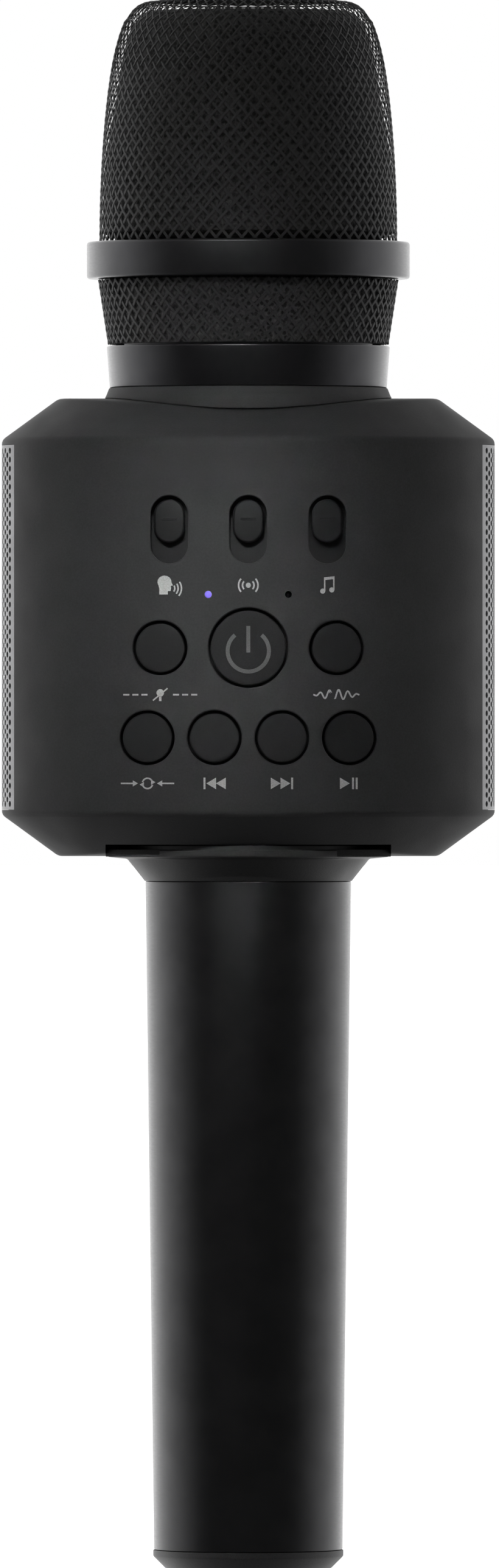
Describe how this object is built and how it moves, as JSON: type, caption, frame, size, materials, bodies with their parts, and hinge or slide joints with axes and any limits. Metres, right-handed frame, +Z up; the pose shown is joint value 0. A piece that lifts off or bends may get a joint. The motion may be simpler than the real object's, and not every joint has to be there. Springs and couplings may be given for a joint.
{
  "type": "karaoke microphone",
  "caption": "Handheld karaoke microphone: wire grille head, oval body with slide and push controls and side speaker grilles, on a tapered handle.",
  "frame": {"origin": "centre of the end cap's flat bottom face, on the handle's axis", "axes": "+Z up along the handle and grille head, -Y out of the control panel, +X to the right of someone facing the panel"},
  "size_m": [0.0818, 0.06, 0.26],
  "materials": {
    "wire_mesh": "woven wire, dark satin coat",
    "satin_dark_metal": "satin black metal",
    "polished_dark_metal": "smooth black metal, soft gloss",
    "handle_metal": "black anodised, satin gloss",
    "body_plastic": "fine-grained black moulding",
    "adaptor_plastic": "fine-grained black moulding",
    "cap_plastic": "fine-grained black moulding",
    "knob_plastic": "smooth black moulding",
    "button_plastic": "fine matt black moulding",
    "inner_plastic": "plain black moulding",
    "silver_grille": "perforated, silver-grey coat",
    "plated_steel": "bright plated",
    "pressed_steel": "black painted pressing",
    "magnet_steel": "zinc plated",
    "capsule_metal": "plain turned",
    "speaker_paper": "black coated paper",
    "black_foam": "open-cell acoustic foam",
    "black_rubber": "soft matt",
    "cable_sheath": "soft matt sheath",
    "circuit_board": "solder resist",
    "lit_lens": "translucent, lit violet-blue",
    "dark_lens": "smoked, unlit",
    "cell_wrap": "shrink-wrapped cell can"
  },
  "bodies": {
    "microphone_body": {"mic_capsule": "capsule_metal", "capsule_cradle": "black_rubber", "capsule_post": "inner_plastic", "capsule_lead": "cable_sheath", "neck_ring": "polished_dark_metal", "neck_flange": "body_plastic", "front_housing": "body_plastic", "rear_housing": "body_plastic", "left_speaker_grille": "silver_grille", "right_speaker_grille": "silver_grille", "left_speaker_frame": "pressed_steel", "right_speaker_frame": "pressed_steel", "left_speaker_cone": "speaker_paper", "right_speaker_cone": "speaker_paper", "left_speaker_magnet": "magnet_steel", "right_speaker_magnet": "magnet_steel", "main_board": "circuit_board", "socket_board": "circuit_board", "charging_socket": "plated_steel", "line_in_jack": "inner_plastic", "status_light": "lit_lens", "charge_light": "dark_lens", "handle_adaptor": "adaptor_plastic", "handle_tube": "handle_metal", "battery_holder": "inner_plastic", "battery_cell": "cell_wrap", "battery_lead": "cable_sheath", "end_cap": "cap_plastic", "voice_fader": "plated_steel", "echo_fader": "plated_steel", "music_fader": "plated_steel", "vocal_cut_switch": "plated_steel", "power_switch": "plated_steel", "effect_switch": "plated_steel", "source_switch": "plated_steel", "previous_switch": "plated_steel", "next_switch": "plated_steel", "play_switch": "plated_steel", "housing_screw_lower_left": "plated_steel", "housing_screw_upper_left": "plated_steel", "housing_screw_lower_right": "plated_steel", "housing_screw_upper_right": "plated_steel"},
    "head_lift": {"foam_windscreen": "black_foam"},
    "grille_head": {"grille_dome": "wire_mesh", "grille_collar": "satin_dark_metal", "lower_basket": "wire_mesh"},
    "voice_slider": {"voice_slider": "knob_plastic"},
    "echo_slider": {"echo_slider": "knob_plastic"},
    "music_slider": {"music_slider": "knob_plastic"},
    "vocal_cut_button": {"vocal_cut_button": "button_plastic"},
    "power_button": {"power_button": "button_plastic"},
    "effect_button": {"effect_button": "button_plastic"},
    "source_button": {"source_button": "button_plastic"},
    "previous_button": {"previous_button": "button_plastic"},
    "next_button": {"next_button": "button_plastic"},
    "play_button": {"play_button": "button_plastic"}
  },
  "joints": [
    {"name": "head_unscrew", "type": "hinge", "parent": "head_lift", "child": "grille_head", "pos_m": [0, 0, 0.205], "axis": [0, 0, 1], "range_deg": [0, 1440]},
    {"name": "head_rise", "type": "slide", "parent": "microphone_body", "child": "head_lift", "axis": [0, 0, 1], "range_m": [0, 0.0041]},
    {"name": "voice_slide", "type": "slide", "parent": "microphone_body", "child": "voice_slider", "axis": [0, 0, 1], "range_m": [-0.0033, 0.0003]},
    {"name": "echo_slide", "type": "slide", "parent": "microphone_body", "child": "echo_slider", "axis": [0, 0, 1], "range_m": [-0.0033, 0.0003]},
    {"name": "music_slide", "type": "slide", "parent": "microphone_body", "child": "music_slider", "axis": [0, 0, 1], "range_m": [-0.0033, 0.0003]},
    {"name": "vocal_cut_press", "type": "slide", "parent": "microphone_body", "child": "vocal_cut_button", "axis": [0, 1, 0], "range_m": [0, 0.0005], "stiffness_N_per_m": 800},
    {"name": "power_press", "type": "slide", "parent": "microphone_body", "child": "power_button", "axis": [0, 1, 0], "range_m": [0, 0.0005], "stiffness_N_per_m": 800},
    {"name": "effect_press", "type": "slide", "parent": "microphone_body", "child": "effect_button", "axis": [0, 1, 0], "range_m": [0, 0.0005], "stiffness_N_per_m": 800},
    {"name": "source_press", "type": "slide", "parent": "microphone_body", "child": "source_button", "axis": [0, 1, 0], "range_m": [0, 0.0005], "stiffness_N_per_m": 800},
    {"name": "previous_press", "type": "slide", "parent": "microphone_body", "child": "previous_button", "axis": [0, 1, 0], "range_m": [0, 0.0005], "stiffness_N_per_m": 800},
    {"name": "next_press", "type": "slide", "parent": "microphone_body", "child": "next_button", "axis": [0, 1, 0], "range_m": [0, 0.0005], "stiffness_N_per_m": 800},
    {"name": "play_press", "type": "slide", "parent": "microphone_body", "child": "play_button", "axis": [0, 1, 0], "range_m": [0, 0.0005], "stiffness_N_per_m": 800}
  ],
  "couplings": [
    {"joint": "head_rise", "follows": "head_unscrew", "m_per_rad": 0.00015915}
  ]
}
